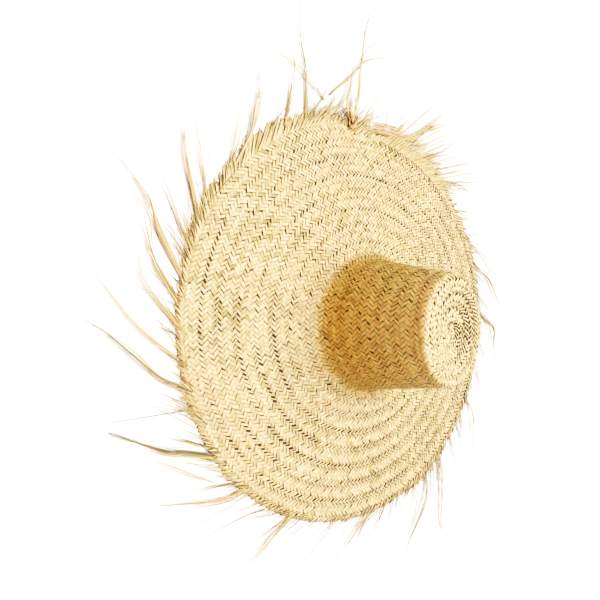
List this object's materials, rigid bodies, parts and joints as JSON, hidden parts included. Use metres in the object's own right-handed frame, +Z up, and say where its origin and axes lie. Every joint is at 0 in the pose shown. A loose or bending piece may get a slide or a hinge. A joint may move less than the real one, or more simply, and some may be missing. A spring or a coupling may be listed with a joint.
{
  "type": "straw hat",
  "caption": "Wide-brimmed straw hat, sewn from a plaited palm-straw braid wound in a spiral, with a tall tapering crown and a long swept fringe of cut straws round its nearly flat brim",
  "frame": {"origin": "on the ground under the middle of the whole hat's bounding box, fringe included; the crown's axis stands 52 mm to its +X side", "axes": "+Z up through the crown, front of the hat towards -Y, the knotted end of the braid towards -X"},
  "size_m": [0.8724, 0.8096, 0.1695],
  "materials": {
    "braid": "satin",
    "cut_straw": "satin"
  },
  "bodies": {
    "root": {"crown_tip": "braid", "crown_side": "braid", "brim": "braid", "fringe": "cut_straw", "braid_end": "cut_straw"}
  },
  "joints": []
}
